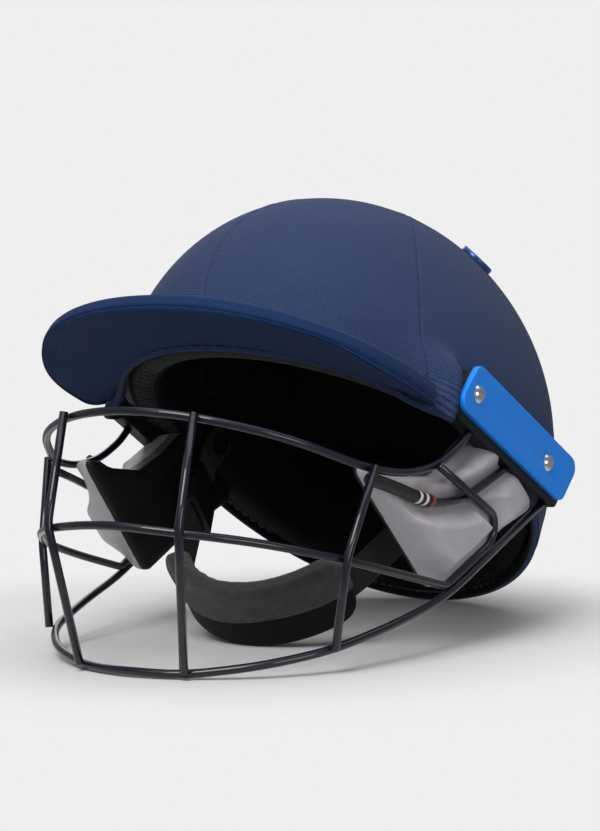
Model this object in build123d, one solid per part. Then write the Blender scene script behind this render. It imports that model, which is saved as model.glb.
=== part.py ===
from build123d import *
import os
from math import acos, asin, atan, atan2, cos, degrees, hypot, radians, sin, sqrt, tan

# A cricket helmet with a cloth-covered shell, a padded peak, a welded wire grille and a chin strap.
# Lengths are in millimetres. The helmet is modelled upright: x to the wearer's left, y to the
# rear, z up, with the origin in the middle of the dome at its widest level. At the end it is
# tipped back on its nape and the grille's bottom bar, as it lies on a table.

# Dome, measured over the cloth. The part below the widest level is deeper, so its walls are steeper.
# Its faces close on a diagonal, clear of the pads and holes.
half_width = 109.0
half_length = 141.0
crown_height = 122.6
nape_depth = 190.0
seam_turn = 45.0
cloth_wall = 1.6
shell_wall = 3.4
liner_wall = 17.0
pad_wall = 8.0

# Lower edge of the dome: level round the forehead, then falling to the nape
brow_drop = 10.0
brow_reach = 15.0
nape_drop = 51.5
edge_bend = 60.0
liner_lift = 2.0

# Peak
peak_half_width = half_width - 5.0
peak_depth = 98.0
peak_root = half_length - 51.0
peak_ear = 14.0
peak_thickness = 9.0
peak_root_thickness = 7.0
peak_rim_drop = 3.4
peak_crown_radius = 620.0
peak_rise = 2.9
peak_round = 3.2
peak_cloth = 1.6
peak_shoulder_share = 0.735

# Headband and the loose pads inside
band_wall = 14.0
band_top = 14.0
band_reach = 12.0
crown_pad_radius = 0.42 * half_width
side_pad_length = 0.58 * half_length
side_pad_height = 0.28 * crown_height
side_pad_level = 0.28 * crown_height
end_pad_width = 0.85 * half_width
end_pad_height = 0.28 * crown_height
brow_pad_level = 0.30 * crown_height
nape_pad_level = 6.0
pad_corner = 12.0
pad_round = 2.4

# Vent eyelets
eyelet_out = 0.587 * half_width
eyelet_ahead = 3.0
eyelet_radius = 10.0
eyelet_bore = 4.0
eyelet_barrel = 6.0
eyelet_rim = 2.6
eyelet_length = 6.4
eyelet_round = 1.2
vent_play = 1.0

# Side plates, with the brackets behind them
plate_out = half_width + 3.2
plate_ahead = 7.5
plate_low = 2.5
plate_yaw = 3.5
plate_slope = 4.5
plate_length = 116.0
plate_height = 27.0
plate_lean = 5.0
plate_wall = 3.0
plate_corner = 6.5
plate_round = 0.9
bracket_depth = 13.0
bracket_lip = 6.0
bracket_margin = 1.5
bracket_lip_depth = 8.0
screw_front = plate_length / 2 - 10.0
screw_rear = plate_length / 2 - 27.5
screw_low = 1.0

# Screws and the nuts behind the shell
screw_radius = 2.5
screw_head_radius = 4.6
screw_head_height = 2.6
screw_slot = 1.1
screw_slot_depth = 1.3
screw_play = 0.1
nut_radius = 6.0
nut_height = 4.0
nut_pocket_radius = 8.0
screw_reach = 40.0

# Grille
bar_diameter = 4.4
grille_half_width = half_width - 9.0
grille_reach = half_length + 45.0
grille_drop = 170.0
weld_bite = 0.25
bend_share = 0.45
tight_bend = 10.0
sharp_turn = 35.0
upright_bend = 20.0
upright_top = 2.8
upright_foot = 0.8

# Routes of the bars on the wearer's left: shares across, ahead and down from the dome's middle
top_bar_shares = [
    (0, 1, 0.356),
    (0.36, 0.954, 0.356),
    (0.70, 0.825, 0.356),
    (0.923, 0.616, 0.358),
    (0.98, 0.484, 0.318),
    (1.013, 0.371, 0.247),
    (1.03, 0.290, 0.153),
]
middle_bar_shares = [
    (0, 0.960, 0.665),
    (0.36, 0.913, 0.664),
    (0.65, 0.773, 0.635),
    (0.865, 0.597, 0.609),
    (0.945, 0.387, 0.574),
    (0.985, 0.181, 0.536),
    (1.048, -0.043, 0.272),
    (1.052, 0.395, 0.258),
]
bottom_bar_shares = [
    (0, 0.737, 0.997),
    (0.28, 0.704, 0.986),
    (0.59, 0.632, 0.926),
    (0.81, 0.519, 0.838),
    (0.935, 0.333, 0.694),
    (0.995, 0.172, 0.562),
]
side_bar_shares = [
    (0.92, 0.608, 0.382),
    (0.955, 0.495, 0.366),
    (0.98, 0.398, 0.357),
    (0.998, 0.301, 0.332),
    (1.011, 0.188, 0.271),
    (1.035, 0.097, 0.182),
]
bar_end_shares = [(-0.66, -0.97), (0.06, -1.08), (0.90, -0.55)]
inner_corner = 1
outer_corner = 3
sleeve_diameter = 6.4
sleeve_start = 112.0
sleeve_end = 65.0

# Cheek pads
cheek_out = half_width - 24.0
cheek_ahead = 36.0
cheek_low = 52.0
cheek_yaw = 5.0
cheek_length = 144.0
cheek_height = 84.0
cheek_thickness = 18.0
cheek_corner = 6.0
cheek_swell_share = 0.60
cheek_lining = 2.5
cheek_lining_margin = 2.0
cheek_swell_rise_share = 0.70
cheek_shares = [
    (-0.49, -0.12),
    (-0.335, -0.01),
    (-0.215, 0.13),
    (-0.12, 0.39),
    (-0.08, 0.60),
    (0.52, 0.60),
    (0.52, 0.28),
    (0.30, 0.02),
    (0.02, -0.45),
]

# Chin strap
strap_width = 20.0
strap_wall = 1.8
strap_behind = 8.0
strap_low = 4.0
strap_tail = 8.0
strap_drop = 12.0
strap_bend = 14.0
cup_radius = 58.0
cup_reach = 136.0
cup_half_angle = 54.0
cup_depth = 38.0
cup_wall = 12.0
cup_base_wall = 3.2
cup_round = 4.0
rivet_radius = 2.5
rivet_head_radius = 6.5
rivet_head_wall = 1.8
rivet_collar_radius = 4.6
rivet_collar = 2.0
strap_play = 0.1

# Buckle on the wearer's right
buckle_drop = 20.0
buckle_width = 26.0
buckle_wall = 7.2
buckle_socket = 20.0
buckle_skin = 1.6
buckle_side = 2.0
buckle_yoke = 13.0
buckle_corner = 2.4
tongue_width = 6.0
tongue_length = 13.5
prong_width = 3.2
prong_length = 13.0
prong_root = 1.9
prong_head = 6.0
prong_from_edge = 4.2
prong_sink = 0.2
prong_wall = 3.4
buckle_roof = 5.5
web_slot_depth = 4.0

# Clearances and the overrun of cuts
seat_gap = 0.3
running_gap = 0.05
overrun = 30.0
table_gap = 0.3

skin = cloth_wall + shell_wall
nape_y = half_length * sqrt(1 - (nape_drop / nape_depth) ** 2)
edge_fall = (nape_drop - brow_drop) / (nape_y + brow_reach)


def dome(inset):
    """Solid dome, both halves, with every side set in from the outer cloth by inset."""
    plan = (half_width - inset, half_length - inset)
    upper = Rot(0, 0, seam_turn) * Sphere(1, arc_size1=0, align=None)
    lower = Rot(0, 0, seam_turn) * Sphere(1, arc_size2=0, align=None)
    return scale(upper, by=(*plan, crown_height - inset)) + scale(lower, by=(*plan, nape_depth - inset))


def edge_level(y):
    """Height of the dome's lower edge at a distance y to the rear."""
    return -brow_drop - max(0, y + brow_reach) * edge_fall


def above_edge(lift):
    """Everything above the dome's lower edge, once that is lifted by lift."""
    far = 2 * half_length
    edge = FilletPolyline(
        (-far, edge_level(-far) + lift),
        (-brow_reach, edge_level(-brow_reach) + lift),
        (far, edge_level(far) + lift),
        radius=edge_bend,
    )
    rest = Polyline(edge @ 1, (far, far), (-far, far), edge @ 0)
    return extrude(Plane.YZ * make_face(edge + rest), 2 * half_width, both=True)


def on_dome(x, y):
    """Plane on the outer cloth above the widest level, with its z square to the cloth."""
    level = crown_height * sqrt(1 - (x / half_width) ** 2 - (y / half_length) ** 2)
    outward = (x / half_width**2, y / half_length**2, level / crown_height**2)
    return Plane(origin=(x, y, level), x_dir=(0, 1, 0), z_dir=outward)


def mirrored(piece):
    return mirror(piece, about=Plane.YZ)


def peak_plan(inset):
    """Outline of the peak: a full front curve, and ears that turn in to the dome behind it."""
    width = peak_half_width - inset
    depth = peak_depth - inset
    ear = peak_ear - inset
    shoulder = -peak_root - depth * peak_shoulder_share
    front = Spline(
        (width, -peak_root),
        (width * peak_shoulder_share, shoulder),
        (0, -peak_root - depth),
        tangents=[(0, -1), (-1, 0)],
    )
    ear_arc = RadiusArc((width - ear, ear - peak_root), (width, -peak_root), ear)
    half = ear_arc + front
    back = Line((ear - width, ear - peak_root), (width - ear, ear - peak_root))
    return make_face(half + mirrored(half) + back)


def peak_form(inset):
    """Peak before the dome is taken out of it, smaller by inset on every side."""
    rim = -peak_root - peak_depth
    roll = Pos(0, 0, -peak_crown_radius) * Rot(90, 0, 0) * Cylinder(peak_crown_radius, 3 * peak_depth)
    thinning = degrees(atan((peak_thickness - peak_root_thickness) / peak_depth))
    top = Pos(0, rim, -peak_rim_drop - inset) * Rot(peak_rise, 0, 0) * roll
    under_level = -peak_rim_drop - peak_thickness + inset
    under = Pos(0, rim, under_level) * Rot(peak_rise + thinning, 0, 0) * roll
    form = extrude(peak_plan(inset), peak_crown_radius, both=True) & top - under
    rims = [edge for edge in form.edges() if is_peak_rim(edge)]
    return fillet(rims, peak_round - inset)


def is_peak_rim(edge):
    """Whether an edge runs round the peak, and is neither upright nor across its hidden back."""
    across_back = edge.center().Y > -peak_root and abs(edge.center().X) < peak_ear
    run = edge @ 1 - edge @ 0
    upright = hypot(run.X, run.Y) < abs(run.Z)
    return not across_back and not upright


def on_plate(along_share, up_share, depth):
    """Place behind the left side plate's face, in shares of its half length and half height."""
    along = along_share * plate_length / 2
    up = up_share * plate_height / 2
    return plate_place * Pos(along, up, -depth)


def plate_outline(margin, lip):
    """Outline of a side plate with leaning ends, drawn in by margin and longer below by lip."""
    half = plate_length / 2 - margin
    high = plate_height / 2 - margin
    low = -high - lip
    corners = [
        (-half - plate_lean, low),
        (half - plate_lean, low),
        (half + plate_lean, high),
        (-half + plate_lean, high),
    ]
    return make_face(FilletPolyline(*corners, radius=plate_corner - margin, close=True))


def screw_rods(radius, start, length):
    """Rods along the two screws of the left side plate, from a depth below its face."""
    rods = [
        plate_place * Pos(along, -screw_low, -start - length / 2) * Cylinder(radius, length)
        for along in (-screw_front, screw_rear)
    ]
    return rods[0] + rods[1]


def side_plate():
    """Flat moulded plate that clamps the grille's bracket to the side of the shell."""
    blank = extrude(plate_outline(0, 0), -plate_wall)
    rounded = plate_place * fillet(blank.faces().sort_by(Axis.Z)[-1].edges(), plate_round)
    return rounded - screw_rods(screw_radius + screw_play, -overrun, 2 * overrun)


def side_bracket(bars):
    """Block behind the side plate that fills the gap to the cloth and holds the ends of the bars."""
    back = plate_place * Pos(0, 0, -plate_wall)
    body = extrude(back * plate_outline(bracket_margin, 0), -bracket_depth) - dome(0)
    lip = extrude(back * plate_outline(bracket_margin, bracket_lip), -bracket_lip_depth)
    block = body + (lip - (dome(0) & above_edge(0)))
    return block - screw_rods(screw_radius + screw_play, -overrun, 3 * overrun) - bars


def plate_screws():
    """Two domed slotted screws of the left side plate, which end flush with their nuts."""
    shanks = screw_rods(screw_radius, 0, screw_reach) - dome(skin + nut_height)
    ball = (screw_head_radius**2 + screw_head_height**2) / (2 * screw_head_height)
    cap = Sphere(ball) & Pos(0, 0, ball - screw_head_height / 2) * Cylinder(ball, screw_head_height)
    slot = Pos(0, 0, ball) * Box(3 * screw_head_radius, screw_slot, 2 * screw_slot_depth)
    head = Pos(0, 0, screw_head_height - ball) * (cap - slot)
    for along in (-screw_front, screw_rear):
        shanks += plate_place * Pos(along, -screw_low, 0) * head
    return shanks


def nut_rods(radius, depth):
    """Round plugs about the two screws, just inside the shell and following its curve."""
    return (screw_rods(radius, 0, screw_reach) & hollow) - dome(skin + depth)


def grille_point(across_share, ahead_share, down_share):
    """Place on the grille, in shares of its half width, its reach ahead and its drop."""
    return Vector(
        across_share * grille_half_width,
        -ahead_share * grille_reach,
        -down_share * grille_drop,
    )


def bend_radii(points):
    """Bend radius at each corner of a bar: wide along its sweep, tight where it turns sharply."""
    radii = []
    for before, corner, after in zip(points, points[1:], points[2:]):
        run_in = corner - before
        run_out = after - corner
        turn = run_in.get_angle(run_out)
        widest = bend_share * min(run_in.length, run_out.length) / tan(radians(turn / 2))
        radii.append(min(widest, tight_bend) if turn > sharp_turn else widest)
    return radii


def round_bar(points, diameter, radii):
    """Round bar along a route of straight runs and arcs."""
    path = FilletPolyline(*points, radius=radii)
    start = Plane(origin=path @ 0, z_dir=path % 0)
    return sweep(start * Circle(diameter / 2), path=path)


def bend_middle(points, index, out):
    """Middle of a bend of a bar, moved level and outwards from the face by out."""
    before, corner, after = points[index - 1 : index + 2]
    inward = ((before - corner).normalized() + (after - corner).normalized()).normalized()
    half_turn = radians((corner - before).get_angle(after - corner) / 2)
    middle = corner + inward * bend_radii(points)[index - 1] * (1 / cos(half_turn) - 1)
    outward = Vector(-inward.X, -inward.Y, 0).normalized()
    return middle + outward * out


def both_ways(half_route):
    """Whole route of a bar from its half on the wearer's left, which starts at the middle."""
    other = [Vector(-point.X, point.Y, point.Z) for point in half_route[1:]]
    return other[::-1] + half_route


def upright_route(rails, corner):
    """Route of an upright that is welded to the front of three cross bars."""
    out = bar_diameter - weld_bite
    top, middle, bottom = [bend_middle(rail, corner + len(rail) // 2, out) for rail in rails]
    return [
        top + (top - middle).normalized() * upright_top,
        middle,
        bottom + (bottom - middle).normalized() * upright_foot,
    ]


def upright_pair(rails, corner, diameter):
    upright = round_bar(upright_route(rails, corner), diameter, [upright_bend])
    return upright + mirrored(upright)


def cheek_outline(margin):
    """Outline of a cheek pad, drawn in by margin."""
    corners = [(along * cheek_length, up * cheek_height) for along, up in cheek_shares]
    face = make_face(FilletPolyline(*corners, radius=cheek_corner, close=True))
    return offset(face, -margin) if margin else face


def under_dome(piece):
    """A piece at the side of the face, cut so that it seats under the liner and inside the rim."""
    rim = above_edge(-seat_gap) - dome(skin + seat_gap)
    return piece - rim - above_edge(liner_lift)


def cheek_pad(bars):
    """Crowned foam pad under cloth, pressed in where the bars cross it."""
    reach = (cheek_length * cheek_swell_share, cheek_height * cheek_swell_rise_share, cheek_thickness)
    block = extrude(cheek_outline(0), cheek_thickness) & scale(Sphere(1), by=reach)
    return under_dome(cheek_place * block) - bars


def cheek_face():
    """Smooth inner face of a cheek pad."""
    return under_dome(cheek_place * extrude(cheek_outline(cheek_lining_margin), -cheek_lining))


def headband_room():
    """Room for the headband against the front half of the shell, above the brow."""
    ring = (hollow - dome(skin + band_wall)) & above_edge(liner_lift)
    block = Box(4 * half_width, 2 * half_length, 2 * half_length)
    return ring & (Pos(0, -band_reach - half_length, band_top - half_length) * block)


def comfort_pad(form):
    """Loose foam pad on the inside of the liner, with its inner edges rounded."""
    inset = skin + liner_wall
    pad = (form & dome(inset)) - dome(inset + pad_wall)
    inner = pad.faces().sort_by(lambda face: face.distance_to(Vertex(0, 0, 0)))[0]
    return fillet(inner.edges(), pad_round)


def end_pad(level, side):
    """Comfort pad at the brow or the nape."""
    outline = Plane.XZ * Pos(0, level) * RectangleRounded(end_pad_width, end_pad_height, pad_corner)
    return comfort_pad(extrude(outline, -side * half_length))


def chin_arc():
    """Centre of the chin cup's curve, and where the webbing leaves that curve on the left."""
    centre = Vector(0, 0, cup_radius - cup_reach)
    radius = cup_radius - cup_base_wall - strap_wall / 2
    top = Vector(web_out, 0, -strap_drop)
    away = top - centre
    leave = atan2(away.Z, away.X) - acos(radius / away.length)
    return centre, radius, top, centre + Vector(cos(leave), 0, sin(leave)) * radius


def flip(point):
    return Vector(-point.X, point.Y, point.Z)


def webbing(path):
    """Flat webbing along a path that lies across the helmet."""
    start = Plane(origin=path @ 0, x_dir=(0, 1, 0), z_dir=path % 0)
    return sweep(start * Rectangle(strap_width, strap_wall), path=path)


def strap_eye(side):
    """Round hole of the webbing on its rivet."""
    eye = Cylinder(rivet_radius + running_gap, strap_width)
    return Pos(side * web_out, 0, 0) * Rot(0, 90, 0) * eye


def chin_webbing():
    """Webbing from the left rivet, through the chin cup and up to the buckle on the right."""
    centre, radius, top, leave = chin_arc()
    down = FilletPolyline(Vector(web_out, 0, strap_tail), top, leave, radius=[strap_bend])
    round_cup = ThreePointArc(leave, centre - Vector(0, 0, radius), flip(leave))
    end = (buckle_place * Pos(0, 0, web_slot_depth - buckle_socket - buckle_yoke)).position
    return webbing(Wire((down + round_cup + Line(flip(leave), end)).edges())) - strap_eye(1)


def anchor_webbing():
    """Webbing from the right rivet down to the buckle."""
    centre, radius, top, leave = chin_arc()
    end = (buckle_place * Pos(0, 0, -web_slot_depth)).position
    start = Vector(-web_out, 0, strap_tail)
    return webbing(FilletPolyline(start, flip(top), end, radius=[strap_bend])) - strap_eye(-1)


def cup_form():
    """Chin cup with its pad: a curved band about the centre of the cup's curve, all edges rounded."""
    half = radians(cup_half_angle)
    reach = 2 * cup_radius
    left = (reach * sin(half), -reach * cos(half))
    right = (-left[0], left[1])
    wedge = make_face(Polyline((0, 0), left, (0, -2 * reach), right, close=True))
    band = (Circle(cup_radius) - Circle(cup_radius - cup_wall)) & wedge
    form = extrude(Plane.XZ * Pos(0, cup_radius - cup_reach) * band, cup_depth / 2, both=True)
    return fillet(form.edges(), cup_round)


def cup_core():
    """Round core of the chin cup's curve, out to the smooth base."""
    core = Cylinder(cup_radius - cup_base_wall, 2 * cup_depth)
    return Pos(0, 0, cup_radius - cup_reach) * Rot(90, 0, 0) * core


def buckle_block(height):
    """Flat block of the buckle's section, from zero down to a depth of height."""
    return extrude(RectangleRounded(buckle_width, buckle_wall, buckle_corner), -height)


def buckle_socket_half(web):
    """Hollow half of the buckle, with a window on each side for the prongs."""
    room_wall = buckle_wall - 2 * buckle_skin
    room_middle = -buckle_roof - buckle_socket / 2
    room = Pos(0, 0, room_middle) * Box(buckle_width - 2 * buckle_side, room_wall, buckle_socket)
    window_height = prong_head + 2 * seat_gap
    window = Pos(0, 0, prong_head_level) * Box(2 * buckle_width, room_wall, window_height)
    return buckle_place * (buckle_block(buckle_socket) - room - window) - web


def buckle_plug_half(web):
    """Yoke with a guide tongue, and sockets for the two prongs."""
    yoke = Pos(0, 0, -buckle_socket) * buckle_block(buckle_yoke)
    tongue = Pos(0, 0, tongue_length / 2 - buckle_socket) * Box(tongue_width, prong_wall, tongue_length)
    half = yoke + tongue
    for side in (-1, 1):
        seat = Cylinder(prong_root + running_gap, buckle_wall)
        half -= Pos(side * prong_out, 0, -buckle_socket) * Rot(90, 0, 0) * seat
    return buckle_place * half - web


def buckle_prong(side):
    """Springy prong whose head fills a window of the socket half."""
    head_middle = buckle_socket + prong_head_level
    low = head_middle - prong_head / 2
    high = head_middle + prong_head / 2
    out = buckle_width / 2 - prong_out - prong_sink
    profile = Polyline((0, low), (out, low), (out, head_middle), (0, high), close=True)
    head = extrude(Plane.XZ * make_face(profile), prong_wall / 2, both=True)
    arm = Pos(0, 0, prong_length / 2) * Box(prong_width, prong_wall, prong_length)
    whole = Rot(90, 0, 0) * Cylinder(prong_root, prong_wall) + arm + head
    turned = whole if side > 0 else mirrored(whole)
    return buckle_place * Pos(side * prong_out, 0, -buckle_socket) * turned


def rivet():
    """Rivet of the left strap end: a shaft from the shell, a collar on the liner and a head."""
    web_outer = web_out + strap_wall / 2 + strap_play
    web_inner = web_out - strap_wall / 2 - strap_play
    shaft = along_x(rivet_radius, web_inner, half_width) & hollow
    collar = along_x(rivet_collar_radius, web_outer, half_width) & dome(skin + liner_wall)
    return shaft + collar + along_x(rivet_head_radius, web_inner - rivet_head_wall, web_inner)


def along_x(radius, start, end):
    """Rod on the strap's axis between two distances from the middle of the helmet."""
    rod = Rot(0, 90, 0) * Cylinder(radius, end - start)
    return Pos((start + end) / 2, strap_behind, -strap_low) * rod


def vent_rod(radius, low, high):
    """Rod square to the cloth at the left eyelet, between two heights over the cloth."""
    rod = Pos(0, 0, (low + high) / 2) * Cylinder(radius, high - low)
    return on_dome(eyelet_out, -eyelet_ahead).location * rod


def eyelet():
    """Moulded eyelet: a rounded flange on the cloth, and a barrel through cloth and shell."""
    flange = fillet(Cylinder(eyelet_radius, 2 * eyelet_rim).edges().group_by(Axis.Z)[-1], eyelet_round)
    placed = on_dome(eyelet_out, -eyelet_ahead).location * flange
    body = (placed - dome(0)) + vent_rod(eyelet_barrel, -eyelet_length, 0)
    return body - vent_rod(eyelet_bore, -overrun, overrun)


# Places that several pieces share
plate_turn = Rot(0, 0, -plate_yaw) * Rot(-plate_slope, 0, 0)
plate_place = Pos(plate_out, -plate_ahead, -plate_low) * plate_turn * Plane.YZ.location
cheek_place = Pos(cheek_out, -cheek_ahead, -cheek_low) * Rot(0, 0, -cheek_yaw) * Plane.YZ.location
bar_depth = plate_wall + bar_diameter / 2 + seat_gap
top_end, side_end, bottom_end = [on_plate(*shares, bar_depth).position for shares in bar_end_shares]

# Routes of the grille's bars, from the middle of the face to the wearer's left
top_half = [grille_point(*shares) for shares in top_bar_shares] + [top_end]
middle_half = [grille_point(*shares) for shares in middle_bar_shares]
bottom_half = [grille_point(*shares) for shares in bottom_bar_shares] + [bottom_end]
side_route = [grille_point(*shares) for shares in side_bar_shares] + [side_end]
top_route = both_ways(top_half)
middle_route = both_ways(middle_half)
bottom_route = both_ways(bottom_half)
rails = [top_route, middle_route, bottom_route]

# How far the helmet tips back until its nape is as low as the grille's foot
foot = bottom_route[len(bottom_route) // 2 + 1]
to_nape = hypot(nape_y - foot.Y, -nape_drop - foot.Z)
tip = degrees(asin(bar_diameter / 2 / to_nape) - atan2(foot.Z + nape_drop, nape_y - foot.Y))
table = foot.Y * sin(radians(tip)) - foot.Z * cos(radians(tip)) + bar_diameter / 2

# The strap hangs from its rivets until the chin cup lies on the table
liner_face = half_width - skin - liner_wall
web_out = liner_face - rivet_collar - strap_play - strap_wall / 2
rivet_height = table - strap_behind * sin(radians(tip)) - strap_low * cos(radians(tip))
cup_far = hypot(cup_reach - cup_round, cup_depth / 2 - cup_round)
cup_splay = degrees(atan2(cup_depth / 2 - cup_round, cup_reach - cup_round))
swing = degrees(acos((rivet_height - table_gap - cup_round) / cup_far)) + cup_splay
strap_place = Pos(0, strap_behind, -strap_low) * Rot(tip - swing, 0, 0)
prong_out = buckle_width / 2 - prong_from_edge
prong_head_level = prong_head / 2 - buckle_socket + prong_head
buckle_axis = (flip(chin_arc()[2]) - flip(chin_arc()[3])).normalized()
buckle_start = flip(chin_arc()[2]) - buckle_axis * buckle_drop
buckle_place = Plane(origin=buckle_start, x_dir=(0, 1, 0), z_dir=buckle_axis).location

# Solids that others are fitted to
crust = dome(cloth_wall)
hollow = dome(skin)
screw_holes = screw_rods(screw_radius + screw_play, 0, screw_reach)
barrel_hole = vent_rod(eyelet_barrel, -overrun, overrun)
skin_holes = [screw_holes, mirrored(screw_holes), barrel_hole, mirrored(barrel_hole)]
pockets = nut_rods(nut_pocket_radius, nut_height + seat_gap)
vent = vent_rod(eyelet_barrel + vent_play, -2 * overrun, overrun)
pin = along_x(rivet_radius, 0, half_width)
foam_holes = [pockets, mirrored(pockets), vent, mirrored(vent), pin, mirrored(pin)]
board_form = peak_form(peak_cloth)

pieces = {}
pieces["peak_board"] = board_form - crust
cloth = (dome(0) - hollow) & above_edge(0)
pieces["cover"] = cloth - (crust & above_edge(cloth_wall)) - [*skin_holes, pieces["peak_board"]]
pieces["shell"] = ((crust - hollow) & above_edge(cloth_wall)) - skin_holes
pieces["peak_cover"] = peak_form(0) - board_form - dome(0)
pieces["headband"] = headband_room() - [pockets, mirrored(pockets)]
foam = (hollow - dome(skin + liner_wall)) & above_edge(liner_lift)
pieces["liner"] = foam - headband_room() - foam_holes
pieces["crown_pad"] = comfort_pad(Pos(0, 0, crown_height / 2) * Cylinder(crown_pad_radius, crown_height))
pieces["brow_pad"] = end_pad(brow_pad_level, -1)
pieces["nape_pad"] = end_pad(nape_pad_level, 1)
side_outline = Plane.YZ * Pos(0, side_pad_level) * RectangleRounded(
    side_pad_length, side_pad_height, pad_corner
)
pieces["side_pad_left"] = comfort_pad(extrude(side_outline, half_width))
pieces["eyelet_left"] = eyelet()
pieces["side_plate_left"] = side_plate()
pieces["plate_screws_left"] = plate_screws()
pieces["screw_nuts_left"] = nut_rods(nut_radius, nut_height) - screw_rods(screw_radius, 0, screw_reach)
pieces["strap_rivet_left"] = rivet()

# Grille
pieces["top_bar"] = round_bar(top_route, bar_diameter, bend_radii(top_route))
pieces["middle_bar"] = round_bar(middle_route, bar_diameter, bend_radii(middle_route))
pieces["bottom_bar"] = round_bar(bottom_route, bar_diameter, bend_radii(bottom_route))
pieces["inner_uprights"] = upright_pair(rails, inner_corner, bar_diameter)
pieces["outer_uprights"] = upright_pair(rails, outer_corner, bar_diameter)
pieces["side_bar_left"] = round_bar(side_route, bar_diameter, bend_radii(side_route))
wire = [pieces[name] for name in ("top_bar", "middle_bar", "bottom_bar", "side_bar_left")]
pieces["bracket_left"] = side_bracket(wire)
sleeve_middle = -(sleeve_start + sleeve_end) / 2
sleeve_room = Pos(half_width, sleeve_middle, 0) * Box(half_width, sleeve_start - sleeve_end, 4 * half_width)
sleeve = round_bar(side_route, sleeve_diameter, bend_radii(side_route)) & sleeve_room
pieces["bar_sleeve"] = sleeve - [*wire, pieces["outer_uprights"]]
around_cheek = [*wire, pieces["bar_sleeve"], pieces["bracket_left"]]
pieces["cheek_pad_left"] = cheek_pad(around_cheek)
pieces["cheek_lining_left"] = cheek_face()

# Chin strap, built hanging straight down from the rivets
webs = [chin_webbing(), anchor_webbing()]
cup = cup_form()
strap = {
    "chin_webbing": webs[0],
    "anchor_webbing": webs[1],
    "chin_cup_base": cup - cup_core(),
    "chin_cup": (cup & cup_core()) - webs[0],
    "buckle_socket": buckle_socket_half(webs[1]),
    "buckle_plug": buckle_plug_half(webs[0]),
    "buckle_prong_front": buckle_prong(-1),
    "buckle_prong_rear": buckle_prong(1),
}
for name, piece in strap.items():
    pieces[name] = strap_place * piece

# Pieces of the wearer's left that have a twin on the right
for name in [name for name in pieces if name.endswith("_left")]:
    pieces[name.replace("_left", "_right")] = mirrored(pieces[name])

# Tip the helmet back, and put the middle of its foot at the origin
tipped = {name: Rot(-tip, 0, 0) * piece for name, piece in pieces.items()}
boxes = [piece.bounding_box() for piece in tipped.values()]
front = min(box.min.Y for box in boxes)
rear = max(box.max.Y for box in boxes)
lowest = min(box.min.Z for box in boxes)
shift = Pos(0, -(front + rear) / 2, -lowest)

os.makedirs("parts", exist_ok=True)
for name, piece in tipped.items():
    export_step(shift * piece, f"parts/{name}.step")

# Key places of the joints and mounts, in the part's final frame
final = shift * Rot(-tip, 0, 0)
keys = {
    "strap axis": final * Pos(0, strap_behind, -strap_low),
    "front prong": final * strap_place * buckle_place * Pos(-prong_out, 0, -buckle_socket),
    "rear prong": final * strap_place * buckle_place * Pos(prong_out, 0, -buckle_socket),
    "eyelet": final * on_dome(eyelet_out, -eyelet_ahead).location,
    "side plate": final * plate_place,
    "head opening": final * Pos(0, 0, edge_level(0)),
}
for name, place in keys.items():
    axis = (place * Pos(0, 0, 1)).position - place.position
    across = (place * Pos(0, 1, 0)).position - place.position
    print(name, place.position, "z", axis, "y", across)
print("tip", tip, "swing", swing)
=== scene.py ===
import bmesh
import bpy
import numpy as np
from math import atan2, cos, pi, radians, sin, sqrt, tan
from mathutils import Matrix, Vector


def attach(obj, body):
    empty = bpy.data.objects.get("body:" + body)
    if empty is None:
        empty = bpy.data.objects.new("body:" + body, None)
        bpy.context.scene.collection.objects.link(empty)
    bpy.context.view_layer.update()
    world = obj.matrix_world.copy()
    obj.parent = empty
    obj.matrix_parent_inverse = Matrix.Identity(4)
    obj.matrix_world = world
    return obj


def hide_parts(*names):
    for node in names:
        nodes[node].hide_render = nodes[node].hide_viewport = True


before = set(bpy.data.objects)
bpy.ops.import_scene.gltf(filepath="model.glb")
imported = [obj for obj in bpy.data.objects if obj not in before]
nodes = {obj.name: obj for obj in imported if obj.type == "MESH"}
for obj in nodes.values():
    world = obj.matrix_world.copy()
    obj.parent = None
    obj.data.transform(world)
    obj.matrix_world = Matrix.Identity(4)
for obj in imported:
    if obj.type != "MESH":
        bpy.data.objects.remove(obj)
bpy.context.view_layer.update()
MM = 0.001

# Studio: a pale level floor that fades out round the helmet, a white surround that the camera sees
# at full strength, four soft square lamps, and the camera where the photographer stood.
class Value:
    """A number that varies over a surface, so that sums on it are written in plain Python."""

    def __init__(self, tree, socket):
        self.tree = tree
        self.socket = socket

    def maths(self, operation, *others):
        node = self.tree.nodes.new("ShaderNodeMath")
        node.operation = operation
        for socket, item in zip(node.inputs, (self, *others)):
            if isinstance(item, Value):
                self.tree.links.new(item.socket, socket)
            else:
                socket.default_value = item
        return Value(self.tree, node.outputs[0])

    def __add__(self, other):
        return self.maths("ADD", other)

    def __sub__(self, other):
        return self.maths("SUBTRACT", other)

    def __rsub__(self, other):
        return self.maths("MULTIPLY_ADD", -1.0, other)

    def __mul__(self, other):
        return self.maths("MULTIPLY", other)

    def __truediv__(self, other):
        return self.maths("DIVIDE", other)

    __radd__ = __add__
    __rmul__ = __mul__

    def wave(self):
        """Sine wave of the value between 0 and 1, with one period per unit."""
        return self.maths("MULTIPLY", 2 * pi).maths("SINE") * 0.5 + 0.5

    def between(self, low, high):
        """0 below low, 1 above high, and smooth in between."""
        node = self.tree.nodes.new("ShaderNodeMapRange")
        node.interpolation_type = "SMOOTHSTEP"
        self.tree.links.new(self.socket, node.inputs["Value"])
        node.inputs["From Min"].default_value = low
        node.inputs["From Max"].default_value = high
        return Value(self.tree, node.outputs["Result"])


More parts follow.
